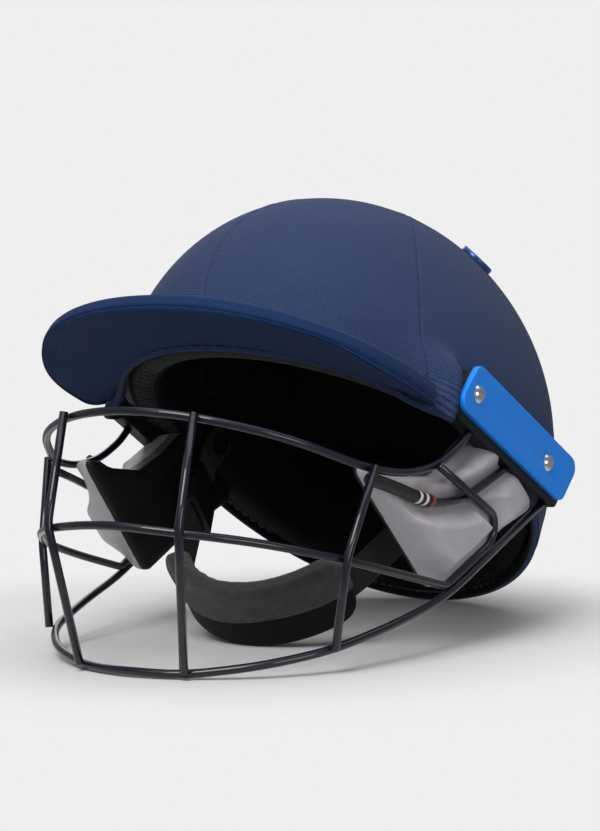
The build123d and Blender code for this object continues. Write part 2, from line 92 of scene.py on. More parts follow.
class Finish:
    """A material under construction: a Principled surface and the nodes that feed it."""

    def __init__(self, name):
        self.material = bpy.data.materials.new(name)
        self.material.use_nodes = True
        self.tree = self.material.node_tree
        self.surface = self.tree.nodes["Principled BSDF"]

    def put(self, socket, item):
        """Feeds a socket with a value or a constant."""
        if isinstance(item, Value):
            self.tree.links.new(item.socket, socket)
        else:
            socket.default_value = item

    def make(self, kind, settings, inputs, output):
        """One node: its settings first, then its inputs by name, read at one output."""
        node = self.tree.nodes.new(kind)
        for key, item in settings.items():
            setattr(node, key, item)
        for key, item in inputs.items():
            self.put(node.inputs[key], item)
        return Value(self.tree, node.outputs[output])

    def places(self, output="Object"):
        return self.make("ShaderNodeTexCoord", {}, {}, output)

    def noise(self, places, scale, detail=2.0, rough=0.5):
        inputs = {"Vector": places, "Scale": scale, "Detail": detail, "Roughness": rough}
        return self.make("ShaderNodeTexNoise", {}, inputs, "Fac")

    def parts(self, places):
        """The three coordinates of a place."""
        node = self.tree.nodes.new("ShaderNodeSeparateXYZ")
        self.tree.links.new(places.socket, node.inputs[0])
        return [Value(self.tree, socket) for socket in node.outputs]

    def mix(self, share, first, second):
        """Colour between two colours."""
        node = self.tree.nodes.new("ShaderNodeMix")
        node.data_type = "RGBA"
        self.put(node.inputs["Factor"], share)
        self.put(node.inputs[6], first)
        self.put(node.inputs[7], second)
        return Value(self.tree, node.outputs[2])

    def set(self, **inputs):
        for key, item in inputs.items():
            self.put(self.surface.inputs[key.replace("_", " ")], item)

    def bump(self, height, distance):
        relief = self.make("ShaderNodeBump", {}, {"Height": height, "Distance": distance}, "Normal")
        self.set(Normal=relief)


def lit(red, green, blue):
    """A screen colour, 0 to 255 in each part, as the linear colour that renders like it."""
    parts = [part / 255 for part in (red, green, blue)]
    linear = [part / 12.92 if part <= 0.04045 else ((part + 0.055) / 1.055) ** 2.4 for part in parts]
    return (*linear, 1.0)


floor_half, floor_aside, fade_start, fade_end = 1.5, 0.04, 0.15, 0.31
floor_finish = Finish("floor")
floor_x, floor_y, _ = floor_finish.parts(floor_finish.places())
floor_x = floor_x + floor_aside
floor_way = (floor_x * floor_x + floor_y * floor_y).maths("SQRT")
floor_seen = 1.0 - floor_way.between(fade_start, fade_end)
floor_finish.set(Base_Color=lit(226, 226, 226), Roughness=0.9, Alpha=floor_seen, Specular_IOR_Level=0.0)
floor_mesh = bpy.data.meshes.new("floor")
floor_corners = [(-1, -1), (1, -1), (1, 1), (-1, 1)]
floor_mesh.from_pydata([(x * floor_half, y * floor_half, 0) for x, y in floor_corners], [], [(0, 1, 2, 3)])
floor_mesh.materials.append(floor_finish.material)
floor = bpy.data.objects.new("floor", floor_mesh)
bpy.context.collection.objects.link(floor)

world = bpy.data.worlds.new("surround")
bpy.context.scene.world = world
world.use_nodes = True
sky_tree = world.node_tree
sky = sky_tree.nodes["Background"]
rays = sky_tree.nodes.new("ShaderNodeLightPath")
by_camera = Value(sky_tree, rays.outputs["Is Camera Ray"])
through = Value(sky_tree, rays.outputs["Is Transmission Ray"])
seen = by_camera.maths("MAXIMUM", through)
sky.inputs["Color"].default_value = lit(239, 239, 239)
fill_light = 0.3
sky_tree.links.new((seen * (1 - fill_light) + fill_light).socket, sky.inputs["Strength"])

lamps = {
    "key": ((0.15, -1.15, 1.15), 0.8, 17.0),
    "top": ((0.1, 0.2, 1.6), 1.6, 10.0),
    "front": ((1.5, -0.9, 0.35), 0.7, 6.0),
    "rear": ((-0.9, 0.9, 0.7), 0.7, 2.0),
}
aim = Vector((0, 0, 0.1))
for name, (place, size, power) in lamps.items():
    lamp = bpy.data.lights.new(name, "AREA")
    lamp.size = size
    lamp.energy = power
    holder = bpy.data.objects.new(name, lamp)
    bpy.context.collection.objects.link(holder)
    toward = aim - Vector(place)
    holder.matrix_world = Matrix.Translation(place) @ toward.to_track_quat("-Z", "Y").to_matrix().to_4x4()

azimuth, elevation, roll = radians(32.0), radians(2.0), radians(0.9)
camera_back = Vector((sin(azimuth) * cos(elevation), -cos(azimuth) * cos(elevation), sin(elevation)))
camera_right = Vector((cos(azimuth), sin(azimuth), 0))
camera_up = camera_back.cross(camera_right)
camera_far, camera_aside, camera_high = 997.76, -1.15, 112.93
camera_place = camera_back * camera_far + camera_right * camera_aside + camera_up * camera_high
photo_shift = Vector((0, -2.84, 0.59))
camera_data = bpy.data.cameras.new("camera")
camera_data.sensor_fit = "VERTICAL"
camera_data.sensor_height = 36.0
camera_data.lens = 82.3
camera_data.clip_end = 20.0
camera = bpy.data.objects.new("camera", camera_data)
bpy.context.collection.objects.link(camera)
turn = Matrix((camera_right, camera_up, camera_back)).transposed().to_4x4()
camera_spot = Matrix.Translation((camera_place + photo_shift) * MM)
camera.matrix_world = camera_spot @ turn @ Matrix.Rotation(-roll, 4, "Z")
bpy.context.scene.camera = camera
bpy.context.scene.view_settings.view_transform = "Standard"

# Cloth cover of the shell: six panels of navy twill, sewn together along meridians that meet at
# the crown, stretched over the moulded shell, glued down and turned in round the lower edge.
# In front of each side plate it swells and hangs lower, over the front end of the bracket.
half_width, half_length, crown_height, nape_depth = 109.0, 141.0, 122.6, 190.0
brow_drop, brow_reach, nape_drop = 10.0, 15.0, 51.5
nape_y = half_length * sqrt(1 - (nape_drop / nape_depth) ** 2)
edge_fall = (nape_drop - brow_drop) / (nape_y + brow_reach)
edge_soft, skin, lowest_latitude, halvings = 9.0, 5.0, -0.75, 40

# The helmet is built upright, in millimetres from the middle of its dome: x to the wearer's left,
# y to the rear and z up. It lies tipped back on its nape and on the foot of its grille, so every
# mesh is laid down by the same tip before it becomes an object in metres.
tip = radians(23.9642)
dome_middle = Vector((0, 35.656, 102.186))


def laid_down(points):
    """Upright points in millimetres, as they lie on the table, in metres."""
    points = np.asarray(points, float)
    y = points[:, 1] * cos(tip) + points[:, 2] * sin(tip)
    z = points[:, 2] * cos(tip) - points[:, 1] * sin(tip)
    return (np.stack([points[:, 0], y, z], 1) + np.array(dome_middle)) * MM


def new_piece(name, points, faces, material, body="root"):
    """Smooth mesh object from upright points, riding on a body."""
    mesh = bpy.data.meshes.new(name)
    mesh.from_pydata(laid_down(points).tolist(), [], faces)
    mesh.materials.append(material)
    mesh.shade_smooth()
    piece = bpy.data.objects.new(name, mesh)
    bpy.context.collection.objects.link(piece)
    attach(piece, body)
    return piece


def grid_faces(rows, columns, around=False, flip=False):
    """Quads of a grid of points; around joins the last column to the first."""
    faces = []
    for row in range(rows - 1):
        for column in range(columns - (0 if around else 1)):
            beside = (column + 1) % columns
            quad = (
                row * columns + column,
                row * columns + beside,
                (row + 1) * columns + beside,
                (row + 1) * columns + column,
            )
            faces.append(quad[::-1] if flip else quad)
    return faces


def edge_level(y):
    """Height of the dome's lower edge, with a soft bend where it starts to fall."""
    past = np.asarray(y, float) + brow_reach
    return -brow_drop - edge_fall * 0.5 * (past + np.sqrt(past**2 + edge_soft**2))


def dome_point(azimuth, latitude):
    """Point of the dome at an azimuth from the brow and a latitude from its widest level."""
    depth = np.where(latitude >= 0, crown_height, nape_depth)
    x = half_width * np.sin(azimuth) * np.cos(latitude)
    y = -half_length * np.cos(azimuth) * np.cos(latitude)
    return np.stack([x, y, depth * np.sin(latitude)], -1)


def dome_normal(points):
    """Outward direction of the dome at its points."""
    normal = points / np.array([half_width, half_length, 1]) ** 2
    normal[..., 2] /= np.where(points[..., 2] >= 0, crown_height, nape_depth) ** 2
    return normal / np.linalg.norm(normal, axis=-1, keepdims=True)


def edge_latitude(azimuth):
    """Latitude at which the dome meets its lower edge, found by halving."""
    low = np.full_like(azimuth, lowest_latitude)
    high = np.zeros_like(azimuth)
    for _ in range(halvings):
        middle = (low + high) / 2
        point = dome_point(azimuth, middle)
        above = point[..., 2] > edge_level(point[..., 1])
        high = np.where(above, middle, high)
        low = np.where(above, low, middle)
    return high


starts = np.radians([-122.0, -56.0, 0.0, 55.0, 122.0, 180.0])
all_starts = np.append(starts, starts[0] + 2 * pi)
seam_width, seam_depth, seam_ridge, seam_ridge_width = 0.8, 0.75, 0.38, 4.0
seam_lean, seam_lean_power = radians(-9.0), 6
ripple_count, ripple_count_twin, ripple_share = 61, 97, 0.3
panel_columns, mean_radius = 44, 120.0
half_steps = np.array([0.35, 0.8, 1.6, 2.8, 4.5, 6.5])
seam_steps = np.concatenate([-half_steps[::-1], [0], half_steps]) / mean_radius
columns = [seam_steps + starts[0]]
for start, span in zip(starts, np.diff(all_starts)):
    inner = np.linspace(start + seam_steps[-1], start + span + seam_steps[0], panel_columns)[1:-1]
    columns += [inner, seam_steps + start + span]
columns = np.concatenate(columns[:-1])
upper_rows, lower_rows = 96, 34
crown_latitudes = np.linspace(pi / 2, 0, upper_rows)[1:]
down_shares = np.linspace(0, 1, lower_rows)[1:]
lowest = edge_latitude(columns)
latitudes = np.concatenate([
    np.repeat(crown_latitudes[:, None], len(columns), 1),
    down_shares[:, None] * lowest[None, :],
])
lean_shares = np.abs(np.cos(columns / 2)) ** seam_lean_power
drift = seam_lean * np.clip(np.sin(2 * latitudes), 0, 1) * lean_shares[None, :]
places = dome_point(columns[None, :] + drift, latitudes)
normals = dome_normal(places)
beside = np.abs(columns[:, None] - all_starts[None, :]).min(1)
round_radius = np.hypot(half_width * np.cos(columns), half_length * np.sin(columns))
seam_way = beside[None, :] * round_radius[None, :] * np.cos(latitudes)
ripple = np.sin(latitudes * ripple_count) + np.sin(latitudes * ripple_count_twin + columns[None, :] * 2)
seam_form = seam_ridge * np.exp(-((seam_way / seam_ridge_width) ** 2)) * (1 + ripple_share * ripple / 2)
seam_form -= seam_depth * np.exp(-((seam_way / seam_width) ** 2))
swell_end, swell_ahead, swell_behind = -69.5, 12.0, 5.5
swell_middle, swell_tall, swell_height = -3.0, 18.0, 11.5
hang_ahead, hang_behind, hang_depth, hang_from = 20.0, 9.0, 8.0, 10.0


def swell(points):
    """Sideways shift of the cloth where it runs over the front end of each bracket."""
    past = points[..., 1] - swell_end
    along = np.exp(-((past / np.where(past < 0, swell_ahead, swell_behind)) ** 2))
    up = np.exp(-(((points[..., 2] - swell_middle) / swell_tall) ** 4))
    return np.sign(points[..., 0]) * swell_height * along * up


def hang(points):
    """Depth to which the cloth's edge hangs lower in front of each bracket."""
    past = points[..., 1] - swell_end
    return hang_depth * np.exp(-((past / np.where(past < 0, hang_ahead, hang_behind)) ** 2))


places = places + normals * seam_form[..., None]
places[..., 0] += swell(places)
places[..., 2] -= hang(places) * np.clip(-places[..., 2] / hang_from, 0, 1) ** 1.5
hem_steps = np.linspace(0, pi, 9)[1:]
hem_radius, lift_up = skin / 2, 1.2
tucked_from = len(hem_steps) // 2
rim = dome_point(columns, lowest)
rim_normal = dome_normal(rim)
down = np.array([0, 0, -1.0]) - rim_normal * (-rim_normal[:, 2:3])
down /= np.linalg.norm(down, axis=1, keepdims=True)
hem = [
    rim - rim_normal * hem_radius * (1 - cos(step)) + down * (hem_radius * sin(step) - lift_up)
    for step in hem_steps
]
turned_rises = (4.0, 9.0, 15.0)
turned_in = [rim - rim_normal * skin - down * (lift_up + rise) for rise in turned_rises]
under_rows = np.array(hem + turned_in)
swell_shares = np.append(np.ones(len(hem)), [0.5, 0.15, 0])
under_rows[..., 0] += swell(rim) * swell_shares[:, None]
under_rows[..., 2] -= hang(rim) * swell_shares[:, None]
rings = np.concatenate([places, under_rows])
count = len(columns)
cover_points = np.concatenate([[[0, 0, crown_height]], rings.reshape(-1, 3)])
cover_faces = [tuple(1 + i for i in quad) for quad in grid_faces(len(rings), count, True, True)]
cover_faces += [(0, 1 + i, 1 + (i + 1) % count) for i in range(count)]

cloth_dark, cloth_light = lit(12, 25, 52), lit(54, 71, 110)
twill_pitch = 1.25


def twill(name, dark, light, pitch):
    """Woven twill: fine slanted ribs along the piece's UV, in millimetres, with soft mottling."""
    finish = Finish(name)
    across, along, _ = finish.parts(finish.places("UV"))
    where = finish.places()
    wobble = finish.noise(where, 700.0, 1.0) * 0.8
    ribs = ((along + across * 0.12) / pitch + wobble).wave()
    picks = ((across - along * 0.4) / (pitch * 0.7) + wobble).wave()
    weave = ribs * 0.7 + picks * 0.3
    patches = finish.noise(where, 26.0, 3.0)
    specks = finish.noise(where, 2600.0, 1.0)
    share = weave * 0.9 + patches * 0.2 + specks * 0.25
    tucked = finish.make("ShaderNodeAttribute", {"attribute_name": "tucked"}, {}, "Fac")
    cloth = finish.mix(share, dark, light)
    finish.set(Base_Color=finish.mix(tucked, cloth, lit(7, 8, 11)), Roughness=0.82 + (weave * -0.12))
    finish.set(Sheen_Weight=0.05, Specular_IOR_Level=0.12)
    finish.bump(weave * 0.7 + specks * 0.3, 0.0003)
    return finish.material


def lay_uv(piece, values):
    """Gives every corner of a mesh the UV of its point, in millimetres."""
    layer = piece.data.uv_layers.new(name="cloth")
    corners = np.empty(len(piece.data.loops), int)
    piece.data.loops.foreach_get("vertex_index", corners)
    layer.data.foreach_set("uv", np.asarray(values, float)[corners].astype(np.float32).ravel())


def grid_uv(across, along):
    """UV of a grid of points, from the ways to its columns and to its rows."""
    return np.stack(np.meshgrid(across, along), -1).reshape(-1, 2)


cover_finish = twill("cloth", cloth_dark, cloth_light, twill_pitch)
cover = new_piece("cover_cloth", cover_points, cover_faces, cover_finish)
panel_shift, meridian_radius, hem_pitch = 15.0, 125.0, 2.0
panel = np.digitize(columns, starts) % len(starts)
panel_middles = (all_starts[:-1] + all_starts[1:]) / 2
offset = (columns - panel_middles[panel - 1] + pi) % (2 * pi) - pi
uv_rows = np.stack([
    offset[None, :] * mean_radius * np.cos(latitudes) + panel_shift * panel[None, :],
    latitudes * meridian_radius,
], -1)
extra = np.repeat(uv_rows[-1:], len(under_rows), 0)
extra[..., 1] -= hem_pitch * np.arange(1, len(under_rows) + 1)[:, None]
lay_uv(cover, np.concatenate([[[0, 0]], np.concatenate([uv_rows, extra]).reshape(-1, 2)]))
tucked = np.zeros(len(cover_points), np.float32)
tucked[1 + (len(places) + tucked_from) * count :] = 1.0
cover.data.attributes.new("tucked", "FLOAT", "POINT").data.foreach_set("value", tucked)
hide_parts("cover")

# Peak: a stiff moulded board padded and wrapped in the same twill, in darker colours that are painted
# shade. The cloth of the top is drawn over the thick rim and meets the cloth of the underside in a
# seam along the rim's lower corner.
peak_half_width, peak_root, peak_depth, peak_ear = 104.0, 90.0, 98.0, 8.0
rim_drop, rim_thickness, peak_power, peak_edge = 3.4, 9.0, 2.25, 3.2
crown_bow, peak_rise, under_rise = 620.0, radians(2.9), radians(4.07)
root_half_angle = radians(56.5)
ear_steps, front_steps, rim_points = 12, 150, 190


def outward(piece, passes=0):
    """Turns the faces of a closed piece outwards, and evens out its creases in some passes."""
    axes = {"use_axis_x": True, "use_axis_y": True, "use_axis_z": True}
    bm = bmesh.new()
    bm.from_mesh(piece.data)
    bmesh.ops.recalc_face_normals(bm, faces=bm.faces)
    for _ in range(passes):
        bmesh.ops.smooth_vert(bm, verts=bm.verts, factor=0.5, **axes)
    bm.to_mesh(piece.data)
    bm.free()


def way_along(line):
    """Distance of each point of a line from its start."""
    return np.append(0, np.cumsum(np.linalg.norm(np.diff(line, axis=0), axis=1)))


def evenly(line, ways):
    """Points of a flat line at given distances from its start."""
    return np.stack([np.interp(ways, way_along(line), line[:, i]) for i in (0, 1)], 1)


sweep_angles = np.linspace(0, pi, front_steps)
front_cos, front_sin = np.cos(sweep_angles), np.sin(sweep_angles)
front_x = peak_half_width * np.sign(front_cos) * np.abs(front_cos) ** (2 / peak_power)
front_y = -peak_root - peak_depth * np.abs(front_sin) ** (2 / peak_power)
ear_angles = np.linspace(pi / 2, 0, ear_steps)[:-1]
ear_x = peak_half_width - peak_ear + peak_ear * np.cos(ear_angles)
ear_y = -peak_root + peak_ear * np.sin(ear_angles)
outline = np.stack([
    np.concatenate([ear_x, front_x, -ear_x[::-1]]),
    np.concatenate([ear_y, front_y, ear_y[::-1]]),
], 1)
rim_way = np.linspace(0, way_along(outline)[-1], rim_points)
outline = evenly(outline, rim_way)
tangent = np.gradient(outline, axis=0)
tangent /= np.linalg.norm(tangent, axis=1, keepdims=True)
inward = np.stack([tangent[:, 1], -tangent[:, 0]], 1)
inward *= np.where((inward * (outline + (0, peak_root))).sum(1) > 0, -1, 1)[:, None]
root_angles = np.linspace(root_half_angle, -root_half_angle, rim_points)
root_line = np.stack([
    (half_width - skin / 2) * np.sin(root_angles),
    -(half_length - skin / 2) * np.cos(root_angles),
], 1)


def peak_row(inset, share, on_top, lift=0.0):
    """A row of the peak's top or underside: inset from the rim, a share of the way to the dome."""
    edge = outline + inward * inset
    plan = edge + (root_line - edge) * share
    rise, rim_level = (peak_rise, -rim_drop) if on_top else (under_rise, -rim_drop - rim_thickness)
    bow = crown_bow - np.sqrt(crown_bow**2 - plan[:, 0] ** 2)
    level = rim_level + (plan[:, 1] + peak_root + peak_depth) * tan(rise) - bow
    return np.column_stack([plan, level + lift])


puff_height, puff_run = 0.9, 1.6
root_shares = np.linspace(0, 1, 26)
peak_rows = []
for share in root_shares[::-1]:
    puff = puff_height * sin(pi * min(1, share * puff_run)) ** 2
    peak_rows.append(peak_row(peak_edge, share, True, puff))
for step in np.linspace(0, pi / 2, 7)[1:]:
    peak_rows.append(peak_row(peak_edge * (1 - sin(step)), 0, True, -peak_edge * (1 - cos(step))))
rim_from = len(peak_rows)
groove_drop, groove_depth, groove_width = 6.9, 0.8, 0.42
bulge_out, bulge_from, bulge_tall = 0.7, 3.0, 6.0
rim_drops = (4.0, 4.8, 5.6, 6.2, 6.6, 6.9, 7.2, 7.6)
for drop in rim_drops:
    dip = groove_depth * np.exp(-(((drop - groove_drop) / groove_width) ** 2))
    out = bulge_out * sin(pi * (drop - bulge_from) / bulge_tall)
    peak_rows.append(peak_row(dip - out, 0, True, -drop))
under_edge, under_steps = 1.5, 4
for step in np.linspace(0, pi / 2, under_steps + 1)[1:]:
    peak_rows.append(peak_row(under_edge * (1 - cos(step)), 0, False, under_edge * (1 - sin(step))))
for share in root_shares[1:]:
    peak_rows.append(peak_row(under_edge, share, False))
peak_rows = np.array(peak_rows)
ear_from, ear_run, ear_hang = 80.0, 24.0, 3.5
ear_way = np.clip((np.abs(outline[:, 0]) - ear_from) / ear_run, 0, 1)
ear_form = ear_way**2 * (3 - 2 * ear_way)
hang_shares = [np.linspace(0, 1, len(rim_drops)), np.ones(under_steps), 1 - root_shares[1:]]
peak_rows[rim_from:, :, 2] -= ear_hang * np.concatenate(hang_shares)[:, None] * ear_form[None]
count = len(outline)
peak_faces = grid_faces(len(peak_rows), count)
last = (len(peak_rows) - 1) * count
peak_faces += [(last + i, last + i + 1, i + 1, i) for i in range(count - 1)]
for end in (0, count - 1):
    peak_faces.append([row * count + end for row in range(len(peak_rows))][:: 1 if end else -1])
# Twill colours darker than the dome's: painted shade on the peak, whose top faces up and back.
shaded_peak_dark, shaded_peak_light = lit(8, 26, 56), lit(24, 52, 98)
peak_finish = twill("peak_twill_painted_shade", shaded_peak_dark, shaded_peak_light, twill_pitch * 0.8)
peak = new_piece("peak_cloth", peak_rows.reshape(-1, 3), peak_faces, peak_finish)
outward(peak)
lay_uv(peak, grid_uv(rim_way * 0.7, way_along(peak_rows[:, count // 2])))
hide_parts("peak_cover")


# Plain finishes of the hard pieces. The wire has a glossy dark coat, the side plates are a bright
# blue moulding and the eyelets a darker one, and the sleeve on the left side bar carries bands.
def plain(name, color, roughness, metallic=0.0, coat=0.0, grain=0.0, grain_scale=900.0, shine=0.5):
    """Even finish with a trace of mottling and, where it has one, a fine moulded grain."""
    finish = Finish(name)
    where = finish.places()
    patches = finish.noise(where, 45.0, 3.0)
    shade = finish.mix(patches * 0.5, tuple(part * 0.86 for part in color[:3]) + (1.0,), color)
    finish.set(Base_Color=shade, Roughness=roughness + (patches * 0.06), Metallic=metallic)
    finish.set(Coat_Weight=coat, Specular_IOR_Level=shine)
    if grain:
        finish.bump(finish.noise(where, grain_scale, 2.0), grain)
    return finish.material


def dress(name, material):
    """Gives its finish to a solid that is shown as it is."""
    nodes[name].data.materials.clear()
    nodes[name].data.materials.append(material)


wire_finish = plain("wire", lit(15, 15, 32), 0.3, 0.0, 0.6, shine=0.3)
blue_finish = plain("blue_moulding", lit(2, 140, 255), 0.4, 0.0, 0.0, 0.00003)
eyelet_finish = plain("blue_gloss", lit(34, 74, 140), 0.22, 0.35, 0.5)
black_finish = plain("black_moulding", lit(16, 18, 24), 0.48, 0.0, 0.0, 0.00006, 1500.0, 0.3)
buckle_finish = plain("buckle_moulding", lit(20, 20, 22), 0.38, 0.0, 0.1, 0.00004, 1200.0)
chrome_finish = plain("chrome", lit(225, 225, 228), 0.12, 1.0)
rivet_finish = plain("blackened", lit(30, 30, 32), 0.4, 0.6)
base_finish = plain("smooth_base", lit(7, 7, 8), 0.6, shine=0.15)
for side in ("left", "right"):
    dress(f"plate_screws_{side}", chrome_finish)
    dress(f"strap_rivet_{side}", rivet_finish)

sleeve = Finish("striped_sleeve")
_, rest_y, rest_z = sleeve.parts(sleeve.places())
sleeve_y = (rest_y - dome_middle.y * MM) * cos(tip) - (rest_z - dome_middle.z * MM) * sin(tip)
sleeve_black, sleeve_white, sleeve_red = lit(22, 22, 24), lit(225, 222, 218), lit(178, 40, 44)
sleeve_bands = (
    (-0.0775, -0.0755, sleeve_white),
    (-0.0725, -0.0705, sleeve_white),
    (-0.0670, -0.0630, sleeve_red),
)
shade = sleeve_black
for start, end, color in sleeve_bands:
    inside = sleeve_y.maths("GREATER_THAN", start) * sleeve_y.maths("LESS_THAN", end)
    shade = sleeve.mix(inside, shade, color)
sleeve.set(Base_Color=shade, Roughness=0.5)
sleeve.bump(sleeve.noise(sleeve.places(), 1800.0), 0.0001)
dress("bar_sleeve", sleeve.material)

# Moulded pieces whose edges are softened: the vent eyelets, the side plates, the brackets behind
# them and the buckle. Each is a copy of its solid with a small round along the sharp edges.
sharp_angle, crease_angle = radians(35), radians(40)
soft_edges = {
    "eyelet_left": (eyelet_finish, "root", "moulding", 0.45),
    "eyelet_right": (eyelet_finish, "root", "moulding", 0.45),
    "side_plate_left": (blue_finish, "root", "moulding", 0.3),
    "side_plate_right": (blue_finish, "root", "moulding", 0.3),
    "bracket_left": (black_finish, "root", "bracket", 0.8),
    "bracket_right": (black_finish, "root", "bracket", 0.8),
    "buckle_socket": (buckle_finish, "chin_strap", "buckle", 0.35),
    "buckle_plug": (buckle_finish, "chin_strap", "buckle", 0.35),
    "buckle_prong_front": (buckle_finish, "prong_front", "buckle", 0.25),
    "buckle_prong_rear": (buckle_finish, "prong_rear", "buckle", 0.25),
}


def copy_solid(name, ending, material):
    """Copy of a solid's mesh with a finish of its own, open for edits with its points merged."""
    mesh = nodes[name].data.copy()
    mesh.name = name + ending
    mesh.materials.clear()
    mesh.materials.append(material)
    bm = bmesh.new()
    bm.from_mesh(mesh)
    bmesh.ops.remove_doubles(bm, verts=bm.verts, dist=1e-6)
    return mesh, bm


def show_copy(name, mesh, bm, body):
    """Puts the edited copy in its solid's place."""
    bm.to_mesh(mesh)
    bm.free()
    mesh.shade_smooth()
    mesh.set_sharp_from_angle(angle=crease_angle)
    piece = bpy.data.objects.new(mesh.name, mesh)
    bpy.context.collection.objects.link(piece)
    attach(piece, body)
    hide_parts(name)


for name, (material, body, slot, round_size) in soft_edges.items():
    mesh, bm = copy_solid(name, "_soft", material)
    bmesh.ops.dissolve_limit(bm, angle_limit=radians(1.0), verts=bm.verts, edges=bm.edges)
    inner_edges = [edge for edge in bm.edges if len(edge.link_faces) == 2]
    sharp = [edge for edge in inner_edges if edge.calc_face_angle() > sharp_angle]
    bmesh.ops.bevel(
        bm, geom=sharp, offset=round_size * MM, segments=3, profile=0.5, affect="EDGES", clamp_overlap=True
    )
    show_copy(name, mesh, bm, body)

# Grille: round wire, a little slimmer under its thin coat than the solids allow for, with the ends
# of the uprights ground down close to the top bar that they are welded to.
long_bars = ("top_bar", "middle_bar", "bottom_bar")
other_bars = ("side_bar_left", "side_bar_right", "inner_uprights", "outer_uprights")
wire_slimmer, upright_ground, upright_end = 0.2, 1.9, 2.0
up_way = Vector((0, sin(tip), cos(tip)))
for name in long_bars + other_bars:
    mesh, bm = copy_solid(name, "_wire", wire_finish)
    bm.normal_update()
    for vert in bm.verts:
        vert.co -= vert.normal * wire_slimmer * MM
    for side in (-1, 1) if name.endswith("uprights") else ():
        twin = [vert for vert in bm.verts if vert.co.x * side > 0]
        top = max(vert.co.dot(up_way) for vert in twin)
        for vert in twin:
            if vert.co.dot(up_way) > top - upright_end * MM:
                vert.co -= up_way * upright_ground * MM
    show_copy(name, mesh, bm, "root")

# Cushions: closed soft forms over a flat outline, used for the cheek pads with their linings, and
# for the chin cup with its base.
flattest_corner, longest_share, corner_steps, outline_step = 0.2, 0.45, 7, 1.5
ring_power, pole_margin = 1.35, 9.0


def round_corner(start, corner, end, steps):
    """Curve from the start to the end that bends round a corner."""
    return [
        (1 - share) ** 2 * start + 2 * share * (1 - share) * corner + share**2 * end
        for share in np.linspace(0, 1, steps)
    ]


def rounded_outline(corners, radius):
    """Dense closed line through a polygon with rounded corners."""
    corners = [np.array(corner, float) for corner in corners]
    points = []
    for before, corner, after in zip(corners[-1:] + corners[:-1], corners, corners[1:] + corners[:1]):
        run_in, run_out = before - corner, after - corner
        size_in, size_out = np.linalg.norm(run_in), np.linalg.norm(run_out)
        run_in, run_out = run_in / size_in, run_out / size_out
        opening = max(flattest_corner, np.arccos(np.clip(run_in @ run_out, -1, 1)))
        reach = min(radius / tan(opening / 2), longest_share * size_in, longest_share * size_out)
        points += round_corner(corner + run_in * reach, corner, corner + run_out * reach, corner_steps)
    closed = np.array(points + points[:1])
    length = way_along(closed)[-1]
    return evenly(closed, np.linspace(0, length, int(length / outline_step), endpoint=False))


def to_outline(places, outline):
    """Distance of flat places to a closed line."""
    least = np.full(len(places), 1e9)
    for start, end in zip(outline, np.roll(outline, -1, 0)):
        run = end - start
        share = np.clip(((places - start) @ run) / (run @ run), 0, 1)
        least = np.minimum(least, np.linalg.norm(places - start - share[:, None] * run, axis=1))
    return least


def rolled(margin, radius):
    """Quarter round: 0 on the outline and 1 from a radius inside it."""
    return np.sqrt(1 - (1 - np.clip(margin / radius, 0, 1)) ** 2)


def closed_faces(rows, count):
    """Faces of a stack of rings that ends in a pole at each end; the poles come last."""
    first_pole, last_ring = rows * count, (rows - 1) * count
    faces = grid_faces(rows, count, True)
    faces += [(i, (i + 1) % count, first_pole) for i in range(count)]
    faces += [(last_ring + (i + 1) % count, last_ring + i, first_pole + 1) for i in range(count)]
    return faces


def cushion(outline, centre, ring_count, upper, lower, side_steps):
    """Points and faces of a cushion; upper and lower give its heights from place and margin."""
    shares = 1 - (1 - np.linspace(0, 1, ring_count)) ** ring_power
    rings = centre + shares[1:, None, None] * (outline - centre)[None]
    flat = rings.reshape(-1, 2)
    margin = to_outline(flat, outline)
    count = len(outline)
    top = np.column_stack([flat, upper(flat, margin)]).reshape(-1, count, 3)
    bottom = np.column_stack([flat, lower(flat, margin)]).reshape(-1, count, 3)
    side_shares = np.linspace(0, 1, side_steps + 1)[1:-1, None, None]
    rows = np.concatenate([top, top[-1] + (bottom[-1] - top[-1]) * side_shares, bottom[::-1]])
    poles = [[*centre, height(centre[None], np.array([pole_margin]))[0]] for height in (upper, lower)]
    return np.concatenate([rows.reshape(-1, 3), poles]), closed_faces(len(rows), count)


# Cheek pads: foam under a satin silver-grey cloth. The wire presses into the foam, so it stands in
# puffs between the bars, with a dark piping round its edge. A smooth black lining lies inside.
cheek_out, cheek_ahead, cheek_low, cheek_yaw = 85.0, 36.0, 52.0, radians(5.0)
cheek_length, cheek_height, cheek_thickness = 144.0, 84.0, 18.0
cheek_shares = [
    (-0.53, -0.055), (-0.33, -0.005), (-0.15, 0.095), (-0.03, 0.28), (0.08, 0.60),
    (0.52, 0.60), (0.53, 0.30), (0.33, 0.02), (0.05, -0.48),
]
cheek_origin = np.array([cheek_out, -cheek_ahead, -cheek_low])
cheek_axes = np.array([
    [sin(cheek_yaw), cos(cheek_yaw), 0],
    [0, 0, 1],
    [cos(cheek_yaw), -sin(cheek_yaw), 0],
])
cheek_corners = np.array(cheek_shares) * (cheek_length, cheek_height)
roof_play, cheek_corner = 1.6, 7.0
roof = edge_level(-cheek_ahead + cheek_corners[:, 0] * cos(cheek_yaw)) + roof_play + cheek_low
cheek_corners[:, 1] = np.minimum(cheek_corners[:, 1], roof)
cheek_line = rounded_outline(cheek_corners, cheek_corner)
cheek_middle = np.array([6.0, 2.0])


def upright(points):
    """Points on the table, in metres, as upright ones in millimetres."""
    points = np.asarray(points, float) / MM - np.array(dome_middle)
    y = points[:, 1] * cos(tip) - points[:, 2] * sin(tip)
    z = points[:, 2] * cos(tip) + points[:, 1] * sin(tip)
    return np.stack([points[:, 0], y, z], 1)


